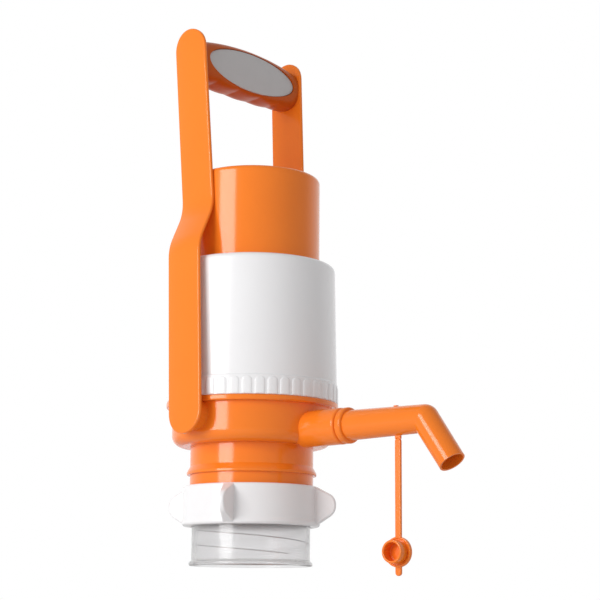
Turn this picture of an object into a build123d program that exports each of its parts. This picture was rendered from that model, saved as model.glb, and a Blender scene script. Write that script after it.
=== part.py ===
from build123d import *
from math import cos, radians, sin, sqrt
import os

# Hand pump for a water jug with a 55 mm neck, in millimetres.
# The origin is the centre of the clear cuff's mouth, +Z is up, the spout points along +X
# and the carrying handle turns about an axis along Y.

os.makedirs("parts", exist_ok=True)

# ---------------------------------------------------------------- driving dimensions
# clear cuff that slips over the jug's neck
CUFF_R = 29.5
CUFF_BORE_R = 27.9
CUFF_LIP_R = 30.7
CUFF_LIP_H = 1.5
CUFF_LIP_SLOPE = 1.0
CUFF_TOP_Z = 24.8
CUFF_FLANGE_R = 31.9
CUFF_FLANGE_H = 2.2
CUFF_GROOVE_D = 0.35
CUFF_GROOVE_W = 1.1
CUFF_GROOVE_LEAD = 14.0
CUFF_GROOVE_Z = 5.5

# screw thread between the neck and the nut, two starts
THREAD_STARTS = 2
THREAD_LEAD = 8.0
THREAD_H = 1.5
THREAD_W = 1.5
NECK_THREAD_Z = 28.6
NUT_THREAD_Z = 26.6

# clamp nut
NUT_Z0 = 19.3
NUT_Z1 = 39.0
NUT_R = 34.2
NUT_FOOT_R = 34.5
NUT_FOOT_H = 1.8
NUT_FOOT_SLOPE = 1.5
NUT_TOP_ROUND = 1.1
NUT_FOOT_ROUND = 1.5
NUT_BORE_R = 32.3
NUT_LIP_R = 29.9
NUT_LIP_H = 3.1
LUG_TIP_R = 44.1
LUG_COUNT = 4
LUG_W = 6.2
LUG_TIP_W = 2.2
LUG_TIP_H = 7.6
LUG_TIP_Z = 29.7
LUG_ROUND = 6.2
LUG_ROOT_R = 33.1
LUG_Z0 = 20.1
LUG_Z1 = 38.5
LUG_TURN = -65.5

# neck and housing of the base
GASKET_H = 2.4
NECK_R = 30.3
NECK_BORE_R = 26.9
NECK_TOP_R = 30.9
NECK_STEP_Z = 38.4
BEAD_R = 32.5
BEAD_Z0 = 44.6
BEAD_Z1 = 48.8
BEAD_RIM_H = 1.3
BEAD_ROUND = 0.4
BODY_Z0 = 58.8
BODY_R = 40.3
BODY_FILLET = 5.4
BODY_WALL = 2.4
FLOOR_T = 2.4
FLANGE_R = 43.4
FLANGE_Z0 = 77.9
FLANGE_Z1 = 80.6
FLANGE_ROUND_LOW = 0.7
FLANGE_ROUND_TOP = 0.5
SPIGOT_R = 40.2
SPIGOT_BORE_R = 38.0
SPIGOT_Z1 = 90.0

# valve deck, bellows and press cap
DECK_Z0 = 78.0
DECK_T = 2.4
SEAL_T = 2.0
FLAP_T = 1.2
BELLOWS_R = 30.6
BELLOWS_ROOT_R = 24.5
BELLOWS_FOLDS = 10
BELLOWS_FLANGE_T = 1.6
RING_Z1 = 90.3
CAP_R = 33.5
CAP_Z1 = 197.4
CAP_WALL = 2.0
CAP_EDGE = 2.2
CAP_SKIRT_Z0 = 143.0
CAP_FLANGE_R = 38.9
CAP_STROKE = 38.0

# guide sleeve
SLEEVE_R0 = 42.6
SLEEVE_R1 = 41.5
SLEEVE_Z0 = 80.65
SLEEVE_Z1 = 151.2
SLEEVE_WALL = 2.2
SLEEVE_EDGE = 3.0
SLEEVE_RIM_T = 2.6
BAND_R = 43.0
BAND_H = 9.4
RIB_COUNT = 43
RIB_OUT = 0.7
RIB_R = 2.6
RIB_TOP_Z = 89.2

# handle
PIVOT_Z = 72.0
HANDLE_LEAN = 3.6
ARM_LENGTH = 190.5
ARM_W = 21.9
ARM_TOP_W = 21.4
ARM_T = 2.3
ARM_FOOT_S = 0.8
ARM_FOOT_Y = 49.0
ARM_KNEE_Y = 46.65
ARM_NECK_Y = 35.85
ARM_TOP_Y = 38.2
KNEE_S = 85.1
NECK_S = 105.3
BOSS_R = 8.0
STUD_R = 4.0
GRIP_S = 184.9
GRIP_HALF_H = 12.2
GRIP_TOP_FALL = 2.2
GRIP_LOW_RISE = 1.5
GRIP_ROUND = 5.5
GRIP_END_ROUND = 9.2
GRIP_HALF_D = 9.5
PLATE_A = 32.2
PLATE_B = 10.35

# spout
SPOUT_Z = 65.6
SOCKET_R0 = 8.95
SOCKET_R1 = 8.85
SOCKET_X0 = 36.0
SOCKET_X1 = 60.9
SOCKET_BORE_R = 7.0
TUBE_R0 = 7.3
TUBE_R1 = 6.6
TUBE_END_R = 6.4
TUBE_BORE_R = 5.5
TUBE_BEND_X = 109.8
SPOUT_DROP = 54.0
SPOUT_END_LENGTH = 25.8

# tethered plug
TETHER_X = 93.9
TETHER_TOP_Z = 57.6
STRAP_W = 3.1
STRAP_T = 1.5
DISC_Z = 5.0
DISC_R = 7.0
PLUG_R = 5.35
PLUG_H = 5.6
TAB_END_Z = -5.9
TETHER_TWIST = 6.0

RUN_GAP = 0.3

# ---------------------------------------------------------------- helpers
SPOUT_AXIS = Axis((0, 0, SPOUT_Z), (1, 0, 0))
LEAN = radians(HANDLE_LEAN)
ACROSS = (cos(LEAN), 0, sin(LEAN))
HANDLE_SIDE = Plane(origin=(0, 0, PIVOT_Z), x_dir=(0, 1, 0), z_dir=ACROSS)
HANDLE_FACE = Plane(origin=(0, 0, PIVOT_Z), x_dir=ACROSS, z_dir=(0, -1, 0))


def ring_edges(shape, radius, z):
    """The circular edges of a turned shape that lie at this radius and height."""
    circles = shape.edges().filter_by(GeomType.CIRCLE)
    return [e for e in circles if abs(e.radius - radius) < 0.02 and abs(e.arc_center.Z - z) < 0.02]


def save(builder, label):
    builder.part.label = label
    export_step(builder.part, f"parts/{label}.step")


# ---------------------------------------------------------------- neck_gasket, clear_cuff
NECK_Z0 = CUFF_TOP_Z + GASKET_H
GASKET_R0 = 24.6
GASKET_R1 = 30.0

with BuildPart() as neck_gasket:
    with BuildSketch(Plane.XY.offset(CUFF_TOP_Z)):
        Circle(GASKET_R1)
        Circle(GASKET_R0, mode=Mode.SUBTRACT)
    extrude(amount=GASKET_H)
save(neck_gasket, "neck_gasket")

with BuildPart() as clear_cuff:
    with BuildSketch(Plane.XZ):
        with BuildLine():
            Polyline(
                (CUFF_BORE_R, 0),
                (CUFF_LIP_R, 0),
                (CUFF_LIP_R, CUFF_LIP_H),
                (CUFF_R, CUFF_LIP_H + CUFF_LIP_SLOPE),
                (CUFF_R, CUFF_TOP_Z - CUFF_FLANGE_H),
                (CUFF_FLANGE_R, CUFF_TOP_Z - CUFF_FLANGE_H),
                (CUFF_FLANGE_R, CUFF_TOP_Z),
                (CUFF_BORE_R, CUFF_TOP_Z),
                close=True,
            )
        make_face()
    revolve(axis=Axis.Z)
    # two left-hand grooves that grip the jug's neck
    for start in range(2):
        turned = Plane.XY.rotated((0, 0, 180 * start)).offset(CUFF_GROOVE_Z)
        with BuildLine(turned) as groove:
            Helix(CUFF_GROOVE_LEAD, CUFF_GROOVE_LEAD, CUFF_BORE_R, lefthand=True)
        with BuildSketch(Plane(groove.line @ 0, x_dir=(1, 0, 0), z_dir=groove.line % 0)):
            Rectangle(2 * CUFF_GROOVE_D, CUFF_GROOVE_W)
        sweep(is_frenet=True, mode=Mode.SUBTRACT)
save(clear_cuff, "clear_cuff")


# ---------------------------------------------------------------- clamp_nut
# one turning lug, thick at its root and thin at its tip
with BuildPart() as lug:
    with BuildSketch(Plane.XZ) as lug_face:
        with BuildLine():
            Polyline(
                (LUG_ROOT_R, LUG_Z0),
                (NUT_FOOT_R, LUG_Z0),
                (LUG_TIP_R, LUG_TIP_Z - LUG_TIP_H / 2),
                (LUG_TIP_R, LUG_TIP_Z + LUG_TIP_H / 2),
                (NUT_R, LUG_Z1),
                (LUG_ROOT_R, LUG_Z1),
                close=True,
            )
        make_face()
        fillet(lug_face.vertices().group_by(Axis.X)[-1], LUG_ROUND)
    extrude(amount=LUG_W / 2, both=True)
    with BuildSketch(Plane.XY.offset(NUT_Z0)):
        with BuildLine():
            Polyline(
                (LUG_ROOT_R, -LUG_W / 2),
                (LUG_TIP_R, -LUG_TIP_W / 2),
                (LUG_TIP_R, LUG_TIP_W / 2),
                (LUG_ROOT_R, LUG_W / 2),
                close=True,
            )
        make_face()
    extrude(amount=NUT_Z1 - NUT_Z0, mode=Mode.INTERSECT)

with BuildPart() as clamp_nut:
    with BuildSketch(Plane.XZ):
        with BuildLine():
            Polyline(
                (NUT_LIP_R, NUT_Z0),
                (NUT_FOOT_R, NUT_Z0),
                (NUT_FOOT_R, NUT_Z0 + NUT_FOOT_H),
                (NUT_R, NUT_Z0 + NUT_FOOT_H + NUT_FOOT_SLOPE),
                (NUT_R, NUT_Z1),
                (NUT_BORE_R, NUT_Z1),
                (NUT_BORE_R, NUT_Z0 + NUT_LIP_H),
                (NUT_LIP_R, NUT_Z0 + NUT_LIP_H),
                close=True,
            )
        make_face()
    revolve(axis=Axis.Z)
    fillet(ring_edges(clamp_nut.part, NUT_R, NUT_Z1), NUT_TOP_ROUND)
    fillet(ring_edges(clamp_nut.part, NUT_FOOT_R, NUT_Z0), NUT_FOOT_ROUND)
    with PolarLocations(0, LUG_COUNT, start_angle=LUG_TURN):
        add(lug.part)
    for start in range(THREAD_STARTS):
        turned = Plane.XY.rotated((0, 0, 360 / THREAD_STARTS * start)).offset(NUT_THREAD_Z)
        with BuildLine(turned) as nut_path:
            Helix(THREAD_LEAD, THREAD_LEAD, NUT_BORE_R)
        with BuildSketch(Plane(nut_path.line @ 0, x_dir=(1, 0, 0), z_dir=nut_path.line % 0)):
            Rectangle(2 * THREAD_H, THREAD_W)
        sweep(is_frenet=True)
save(clamp_nut, "clamp_nut")


# ---------------------------------------------------------------- base_body
LEDGE_R = 35.8
LEDGE_Z0 = 75.4
LEDGE_SLOPE = 2.0
BODY_BORE_R = BODY_R - BODY_WALL
FLOOR_Z1 = BODY_Z0 + FLOOR_T
DUCT_R = 7.2
DUCT_BORE_R = 5.2
DUCT_X0 = -8.0
DUCT_END_T = 2.0
SOCKET_STEP_X = 45.0
SOCKET_ROUND = 1.2
WELL_R = 9.2
WELL_BORE_R = 6.6
WELL_Z0 = 52.0
WELL_Z1 = 60.0
WELL_NECK_R = 4.6
BOSS_Y0 = 39.0
BOSS_GAP = 0.45
BOSS_Y1 = ARM_FOOT_Y - ARM_T - BOSS_GAP
STUD_GAP = 0.05
STUD_DEPTH = 5.0
SPIGOT_THREAD_Z = 82.6
SPIGOT_THREAD_H = 0.5
SPIGOT_THREAD_W = 1.2
SPIGOT_THREAD_LEAD = 4.0

with BuildPart() as base_body:
    with BuildSketch(Plane.XZ):
        with BuildLine():
            Polyline(
                (NECK_BORE_R, NECK_Z0),
                (NECK_R, NECK_Z0),
                (NECK_R, NECK_STEP_Z),
                (NECK_TOP_R, NECK_STEP_Z),
                (NECK_TOP_R, BEAD_Z0),
                (BEAD_R, BEAD_Z0),
                (BEAD_R, BEAD_Z0 + BEAD_RIM_H),
                (NECK_TOP_R, BEAD_Z1),
                (NECK_TOP_R, BODY_Z0),
                (BODY_R, BODY_Z0),
                (BODY_R, FLANGE_Z0),
                (FLANGE_R, FLANGE_Z0),
                (FLANGE_R, FLANGE_Z1),
                (SPIGOT_R, FLANGE_Z1),
                (SPIGOT_R, SPIGOT_Z1),
                (SPIGOT_BORE_R, SPIGOT_Z1),
                (SPIGOT_BORE_R, DECK_Z0),
                (LEDGE_R, DECK_Z0),
                (LEDGE_R, LEDGE_Z0),
                (BODY_BORE_R, LEDGE_Z0 - LEDGE_SLOPE),
                (BODY_BORE_R, FLOOR_Z1),
                (NECK_BORE_R, FLOOR_Z1),
                close=True,
            )
        make_face()
    revolve(axis=Axis.Z)
    fillet(ring_edges(base_body.part, BODY_R, BODY_Z0), BODY_FILLET)
    fillet(ring_edges(base_body.part, FLANGE_R, FLANGE_Z0), FLANGE_ROUND_LOW)
    fillet(ring_edges(base_body.part, FLANGE_R, FLANGE_Z1), FLANGE_ROUND_TOP)
    fillet(ring_edges(base_body.part, BEAD_R, BEAD_Z0), BEAD_ROUND)
    fillet(ring_edges(base_body.part, BEAD_R, BEAD_Z0 + BEAD_RIM_H), BEAD_ROUND)
    # spout socket with its rounded lip, and the water duct behind it
    with BuildSketch(Plane.XZ) as socket_half:
        with BuildLine():
            Polyline(
                (SOCKET_X0, SPOUT_Z),
                (SOCKET_X0, SPOUT_Z + SOCKET_R0),
                (SOCKET_X1, SPOUT_Z + SOCKET_R1),
                (SOCKET_X1, SPOUT_Z),
                close=True,
            )
        make_face()
        fillet(socket_half.vertices().sort_by_distance((SOCKET_X1, SPOUT_Z + SOCKET_R1))[0], SOCKET_ROUND)
    revolve(axis=SPOUT_AXIS)
    with BuildSketch(Plane.YZ.offset(DUCT_X0)):
        with Locations((0, SPOUT_Z)):
            Circle(DUCT_R)
    extrude(amount=BODY_BORE_R - DUCT_X0)
    with BuildSketch(Plane.XY.offset(WELL_Z0)):
        Circle(WELL_R)
    extrude(amount=SPOUT_Z - WELL_Z0)
    # handle bosses
    for side in (-1, 1):
        with BuildSketch(Plane.XZ.offset(-side * BOSS_Y0)):
            with Locations((0, PIVOT_Z)):
                Circle(BOSS_R)
        extrude(amount=-side * (BOSS_Y1 - BOSS_Y0))
    # bores
    with BuildSketch(Plane.YZ.offset(SOCKET_STEP_X)):
        with Locations((0, SPOUT_Z)):
            Circle(SOCKET_BORE_R)
    extrude(amount=SOCKET_X1 - SOCKET_STEP_X, mode=Mode.SUBTRACT)
    with BuildSketch(Plane.YZ.offset(SOCKET_STEP_X)):
        with Locations((0, SPOUT_Z)):
            Circle(DUCT_BORE_R)
    extrude(amount=DUCT_X0 + DUCT_END_T - SOCKET_STEP_X, mode=Mode.SUBTRACT)
    with BuildSketch(Plane.XY.offset(WELL_Z0)):
        Circle(WELL_BORE_R)
    extrude(amount=WELL_Z1 - WELL_Z0, mode=Mode.SUBTRACT)
    with BuildSketch(Plane.XY.offset(WELL_Z1)):
        Circle(WELL_NECK_R)
    extrude(amount=SPOUT_Z - WELL_Z1, mode=Mode.SUBTRACT)
    for side in (-1, 1):
        with BuildSketch(Plane.XZ.offset(-side * BOSS_Y1)):
            with Locations((0, PIVOT_Z)):
                Circle(STUD_R + STUD_GAP)
        extrude(amount=side * (STUD_DEPTH + RUN_GAP), mode=Mode.SUBTRACT)
    # thread that takes the guide sleeve
    with BuildLine(Plane.XY.offset(SPIGOT_THREAD_Z)) as spigot_path:
        Helix(SPIGOT_THREAD_LEAD, SPIGOT_THREAD_LEAD, SPIGOT_R)
    with BuildSketch(Plane(spigot_path.line @ 0, x_dir=(1, 0, 0), z_dir=spigot_path.line % 0)):
        Rectangle(2 * SPIGOT_THREAD_H, SPIGOT_THREAD_W)
    sweep(is_frenet=True)
    # thread that takes the clamp nut
    for start in range(THREAD_STARTS):
        turned = Plane.XY.rotated((0, 0, 360 / THREAD_STARTS * start)).offset(NECK_THREAD_Z)
        with BuildLine(turned) as neck_path:
            Helix(THREAD_LEAD, THREAD_LEAD, NECK_R)
        with BuildSketch(Plane(neck_path.line @ 0, x_dir=(1, 0, 0), z_dir=neck_path.line % 0)):
            Rectangle(2 * THREAD_H, THREAD_W)
        sweep(is_frenet=True)
save(base_body, "base_body")


# ---------------------------------------------------------------- dip_socket, dip_seal
DIP_R = 5.6
DIP_BORE_R = 4.2
DIP_Z0 = 36.0
DIP_SPIGOT_Z1 = 59.6
DIP_SPIGOT_R = 6.5
DIP_SEAL_Z = 56.0
DIP_GROOVE_R = 5.4
DIP_GROOVE_W = 1.8
DIP_FLANGE_R = 8.8
DIP_FLANGE_T = 2.0
DIP_BEVEL = 0.8
DIP_SEAL_R = 0.58

with BuildPart() as dip_socket:
    with BuildSketch(Plane.XZ):
        with BuildLine():
            Polyline(
                (DIP_BORE_R, DIP_Z0),
                (DIP_R, DIP_Z0),
                (DIP_R, WELL_Z0 - DIP_FLANGE_T),
                (DIP_FLANGE_R, WELL_Z0 - DIP_FLANGE_T),
                (DIP_FLANGE_R, WELL_Z0),
                (DIP_SPIGOT_R, WELL_Z0),
                (DIP_SPIGOT_R, DIP_SEAL_Z - DIP_GROOVE_W / 2),
                (DIP_GROOVE_R, DIP_SEAL_Z - DIP_GROOVE_W / 2),
                (DIP_GROOVE_R, DIP_SEAL_Z + DIP_GROOVE_W / 2),
                (DIP_SPIGOT_R, DIP_SEAL_Z + DIP_GROOVE_W / 2),
                (DIP_SPIGOT_R, DIP_SPIGOT_Z1),
                (DIP_BORE_R, DIP_SPIGOT_Z1),
                close=True,
            )
        make_face()
    revolve(axis=Axis.Z)
    chamfer(ring_edges(dip_socket.part, DIP_R, DIP_Z0), DIP_BEVEL)
save(dip_socket, "dip_socket")

with BuildPart() as dip_seal:
    with BuildSketch(Plane.XZ):
        with Locations(((DIP_GROOVE_R + WELL_BORE_R) / 2, DIP_SEAL_Z)):
            Circle(DIP_SEAL_R)
    revolve(axis=Axis.Z)
save(dip_seal, "dip_seal")


# ---------------------------------------------------------------- valve_deck, deck_seal, outlet_flap
DECK_R = 37.8
DECK_Z1 = DECK_Z0 + DECK_T
STEM_HOLE_R = 2.1
STEM_R = 1.9
STEM_BULB_R = 2.6
AIR_HOLE_R = 2.1
AIR_HOLES = 6
AIR_CIRCLE_R = 8.4
FLAP_R = 12.6
FLAP_RIM_T = 0.5
FLAP_GAP = 0.2
STEM_GAP = 0.3
STEM_BULB_H = 1.9
STEM_END_H = 0.4

with BuildPart() as valve_deck:
    with BuildSketch(Plane.XY.offset(DECK_Z0)):
        Circle(DECK_R)
        Circle(STEM_HOLE_R, mode=Mode.SUBTRACT)
        with PolarLocations(AIR_CIRCLE_R, AIR_HOLES):
            Circle(AIR_HOLE_R, mode=Mode.SUBTRACT)
    extrude(amount=DECK_T)
save(valve_deck, "valve_deck")

SEAL_Z1 = DECK_Z1 + SEAL_T
DECK_SEAL_R0 = 34.4

with BuildPart() as deck_seal:
    with BuildSketch(Plane.XY.offset(DECK_Z1)):
        Circle(DECK_R)
        Circle(DECK_SEAL_R0, mode=Mode.SUBTRACT)
    extrude(amount=SEAL_T)
save(deck_seal, "deck_seal")


def flap_outline(seat_z, plate_t):
    """Half section of an umbrella flap that hangs under a plate of this thickness."""
    bulb_z0 = seat_z + plate_t + STEM_GAP
    bulb_z1 = bulb_z0 + STEM_BULB_H
    return [
        (0, seat_z - FLAP_GAP - FLAP_T),
        (FLAP_R, seat_z - FLAP_GAP - FLAP_RIM_T),
        (FLAP_R, seat_z - FLAP_GAP),
        (STEM_R, seat_z - FLAP_GAP),
        (STEM_R, bulb_z0),
        (STEM_BULB_R, bulb_z0),
        (STEM_R, bulb_z1),
        (0, bulb_z1 + STEM_END_H),
    ]


with BuildPart() as outlet_flap:
    with BuildSketch(Plane.XZ):
        with BuildLine():
            Polyline(*flap_outline(DECK_Z0, DECK_T), close=True)
        make_face()
    revolve(axis=Axis.Z)
save(outlet_flap, "outlet_flap")


# ---------------------------------------------------------------- bellows, bellows_ring, inlet_flap
BELLOWS_FLANGE_R = 37.6
BELLOWS_Z0 = SEAL_Z1
FOLD_Z0 = BELLOWS_Z0 + BELLOWS_FLANGE_T
HEAD_Z1 = 190.8
HEAD_T = 1.8
FOLD_SHIFT = 1.5
RING_R0 = 33.6
RING_R1 = 37.7

fold_pitch = (HEAD_Z1 - HEAD_T - FOLD_Z0) / BELLOWS_FOLDS
fold_outer = []
for fold in range(BELLOWS_FOLDS):
    fold_outer.append((BELLOWS_ROOT_R, FOLD_Z0 + fold * fold_pitch))
    fold_outer.append((BELLOWS_R, FOLD_Z0 + (2 * fold + 1) * fold_pitch / 2))
fold_outer.append((BELLOWS_ROOT_R, HEAD_Z1 - HEAD_T))
fold_inner = [(r - FOLD_SHIFT, z) for r, z in reversed(fold_outer)]

with BuildPart() as bellows:
    with BuildSketch(Plane.XZ):
        with BuildLine():
            Polyline(
                (BELLOWS_ROOT_R - FOLD_SHIFT, BELLOWS_Z0),
                (BELLOWS_FLANGE_R, BELLOWS_Z0),
                (BELLOWS_FLANGE_R, FOLD_Z0),
                *fold_outer,
                (BELLOWS_ROOT_R, HEAD_Z1),
                (STEM_HOLE_R, HEAD_Z1),
                (STEM_HOLE_R, HEAD_Z1 - HEAD_T),
                *fold_inner,
                close=True,
            )
        make_face()
    revolve(axis=Axis.Z)
    with BuildSketch(Plane.XY.offset(HEAD_Z1)):
        with PolarLocations(AIR_CIRCLE_R, AIR_HOLES):
            Circle(AIR_HOLE_R)
    extrude(amount=-HEAD_T, mode=Mode.SUBTRACT)
save(bellows, "bellows")

with BuildPart() as bellows_ring:
    with BuildSketch(Plane.XY.offset(FOLD_Z0)):
        Circle(RING_R1)
        Circle(RING_R0, mode=Mode.SUBTRACT)
    extrude(amount=RING_Z1 - FOLD_Z0)
save(bellows_ring, "bellows_ring")

with BuildPart() as inlet_flap:
    with BuildSketch(Plane.XZ):
        with BuildLine():
            Polyline(*flap_outline(HEAD_Z1 - HEAD_T, HEAD_T), close=True)
        make_face()
    revolve(axis=Axis.Z)
save(inlet_flap, "inlet_flap")


# ---------------------------------------------------------------- press_cap, cap_bumper
CAP_BORE_R = CAP_R - CAP_WALL
CAP_TOP_T = 2.2
CAP_FLANGE_T = 3.0
PRESS_RING_R0 = 17.0
PRESS_RING_R1 = 20.0
AIR_NOTCH_W = 5.0
BUMPER_R0 = 33.6
BUMPER_R1 = 38.7
BUMPER_T = 2.3

with BuildPart() as press_cap:
    with BuildSketch(Plane.XZ):
        with BuildLine():
            Polyline(
                (0, CAP_Z1 - CAP_TOP_T),
                (0, CAP_Z1),
                (CAP_R, CAP_Z1),
                (CAP_R, CAP_SKIRT_Z0 + CAP_FLANGE_T),
                (CAP_FLANGE_R, CAP_SKIRT_Z0 + CAP_FLANGE_T),
                (CAP_FLANGE_R, CAP_SKIRT_Z0),
                (CAP_BORE_R, CAP_SKIRT_Z0),
                (CAP_BORE_R, CAP_Z1 - CAP_TOP_T),
                close=True,
            )
        make_face()
    revolve(axis=Axis.Z)
    fillet(ring_edges(press_cap.part, CAP_R, CAP_Z1), CAP_EDGE)
    with BuildSketch(Plane.XY.offset(CAP_Z1 - CAP_TOP_T)):
        Circle(PRESS_RING_R1)
        Circle(PRESS_RING_R0, mode=Mode.SUBTRACT)
        Rectangle(2 * CAP_R, AIR_NOTCH_W, mode=Mode.SUBTRACT)
        Rectangle(AIR_NOTCH_W, 2 * CAP_R, mode=Mode.SUBTRACT)
    extrude(amount=-(CAP_Z1 - CAP_TOP_T - HEAD_Z1))
save(press_cap, "press_cap")

BUMPER_Z0 = CAP_SKIRT_Z0 + CAP_FLANGE_T

with BuildPart() as cap_bumper:
    with BuildSketch(Plane.XY.offset(BUMPER_Z0)):
        Circle(BUMPER_R1)
        Circle(BUMPER_R0, mode=Mode.SUBTRACT)
    extrude(amount=BUMPER_T)
save(cap_bumper, "cap_bumper")


# ---------------------------------------------------------------- guide_sleeve
BAND_Z1 = SLEEVE_Z0 + BAND_H
THREAD_SPACE_R = SPIGOT_R + SPIGOT_THREAD_H + RUN_GAP
SHOULDER_Z0 = RING_Z1
SHOULDER_T = 2.4
SHOULDER_R = 35.6
RIM_BORE_R = 33.85
RIM_ROUND = 0.8
BAND_STEP_H = 0.5

RIB_AXIS_R = BAND_R + RIB_OUT - RIB_R
RIB_ARCH = sqrt(RIB_R ** 2 - (RIB_R - RIB_OUT) ** 2)

with BuildPart() as guide_sleeve:
    with BuildSketch(Plane.XZ):
        with BuildLine():
            Polyline(
                (0, SLEEVE_Z0),
                (BAND_R, SLEEVE_Z0),
                (BAND_R, BAND_Z1),
                (SLEEVE_R0, BAND_Z1 + BAND_STEP_H),
                (SLEEVE_R1, SLEEVE_Z1),
                (0, SLEEVE_Z1),
                close=True,
            )
        make_face()
    revolve(axis=Axis.Z)
    # grip ribs with arched tops
    with Locations((0, 0, SLEEVE_Z0)):
        with PolarLocations(RIB_AXIS_R, RIB_COUNT):
            Cylinder(RIB_R, RIB_TOP_Z - RIB_ARCH - SLEEVE_Z0, align=(Align.CENTER, Align.CENTER, Align.MIN))
    with Locations((0, 0, RIB_TOP_Z - RIB_ARCH)):
        with PolarLocations(RIB_AXIS_R, RIB_COUNT):
            Sphere(RIB_R)
    fillet(ring_edges(guide_sleeve.part, SLEEVE_R1, SLEEVE_Z1), SLEEVE_EDGE)
    with BuildSketch(Plane.XZ):
        with BuildLine():
            Polyline(
                (0, SLEEVE_Z0),
                (THREAD_SPACE_R, SLEEVE_Z0),
                (THREAD_SPACE_R, SHOULDER_Z0),
                (SHOULDER_R, SHOULDER_Z0),
                (SHOULDER_R, SHOULDER_Z0 + SHOULDER_T),
                (SLEEVE_R0 - SLEEVE_WALL, SHOULDER_Z0 + SHOULDER_T),
                (SLEEVE_R1 - SLEEVE_WALL, SLEEVE_Z1 - SLEEVE_RIM_T),
                (RIM_BORE_R, SLEEVE_Z1 - SLEEVE_RIM_T),
                (RIM_BORE_R, SLEEVE_Z1),
                (0, SLEEVE_Z1),
                close=True,
            )
        make_face()
    revolve(axis=Axis.Z, mode=Mode.SUBTRACT)
    fillet(ring_edges(guide_sleeve.part, RIM_BORE_R, SLEEVE_Z1), RIM_ROUND)
save(guide_sleeve, "guide_sleeve")


# ---------------------------------------------------------------- handle arms
KNEE_ROUND = 23.2
NECK_ROUND = 24.5
ARM_EDGE = 0.5
TENON_H = 9.0
TENON_D = 7.0
TENON_GAP = 0.05
TENON_HOLE_Y = 37.4
TENON_TIP_Y = 37.2
STUD_ROOT_Y = 47.0


def arm_crank(shift):
    """Side line of an arm from below its foot to above its top, moved inwards by this much."""
    foot_slope = (ARM_KNEE_Y - ARM_FOOT_Y) / KNEE_S
    top_slope = (ARM_TOP_Y - ARM_NECK_Y) / (ARM_LENGTH - NECK_S)
    return [
        (ARM_FOOT_Y - shift - foot_slope * ARM_W, -ARM_W),
        (ARM_KNEE_Y - shift, KNEE_S),
        (ARM_NECK_Y - shift, NECK_S),
        (ARM_TOP_Y - shift + top_slope * ARM_W, ARM_LENGTH + ARM_W),
    ]


def handle_arm(label, side):
    with BuildPart() as arm:
        with BuildSketch(HANDLE_SIDE.offset(-ARM_W)) as crank:
            with BuildLine():
                outer = arm_crank(0)
                inner = arm_crank(ARM_T)
                Polyline(*[(side * y, s) for y, s in outer + inner[::-1]], close=True)
            make_face()
            fillet(crank.vertices().group_by(Axis.Y)[1], KNEE_ROUND)
            fillet(crank.vertices().group_by(Axis.Y)[-2], NECK_ROUND)
        extrude(amount=2 * ARM_W)
        with BuildSketch(HANDLE_FACE):
            with Locations((0, ARM_FOOT_S)):
                Circle(ARM_W / 2)
            with Locations((0, ARM_LENGTH)):
                Circle(ARM_TOP_W / 2)
            make_hull()
        extrude(amount=2 * ARM_FOOT_Y, both=True, mode=Mode.INTERSECT)
        rim_edges = arm.edges().filter_by(lambda edge: edge.length > ARM_T + ARM_EDGE)
        fillet(rim_edges, ARM_EDGE)
        with BuildSketch(Plane.XZ.offset(-side * STUD_ROOT_Y)):
            with Locations((0, PIVOT_Z)):
                Circle(STUD_R)
        extrude(amount=side * (STUD_ROOT_Y - BOSS_Y1 + STUD_DEPTH))
        with BuildSketch(HANDLE_FACE):
            with Locations((0, GRIP_S)):
                Rectangle(TENON_D + 2 * TENON_GAP, TENON_H + 2 * TENON_GAP)
        extrude(amount=-side * TENON_HOLE_Y, mode=Mode.SUBTRACT)
    save(arm, label)


handle_arm("handle_arm_left", -1)
handle_arm("handle_arm_right", 1)


# ---------------------------------------------------------------- handle_grip, grip_plate
GRIP_SECTIONS = 7
GRIP_END_Y = 37.5
LOBE_PITCH = 16.0
LOBE_DEPTH = 0.9
LOBE_COUNT = 5
PLATE_S = 184.7
PLATE_FRONT = 8.6
PLATE_T = 1.2
PLATE_GAP = 0.1


def grip_top(y):
    return GRIP_S + GRIP_HALF_H - GRIP_TOP_FALL * (y / ARM_TOP_Y) ** 2


def grip_low(y):
    return GRIP_S - GRIP_HALF_H + GRIP_LOW_RISE * (y / ARM_TOP_Y) ** 2


def grip_round(y):
    return GRIP_ROUND + (GRIP_END_ROUND - GRIP_ROUND) * (y / ARM_TOP_Y) ** 2


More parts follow.
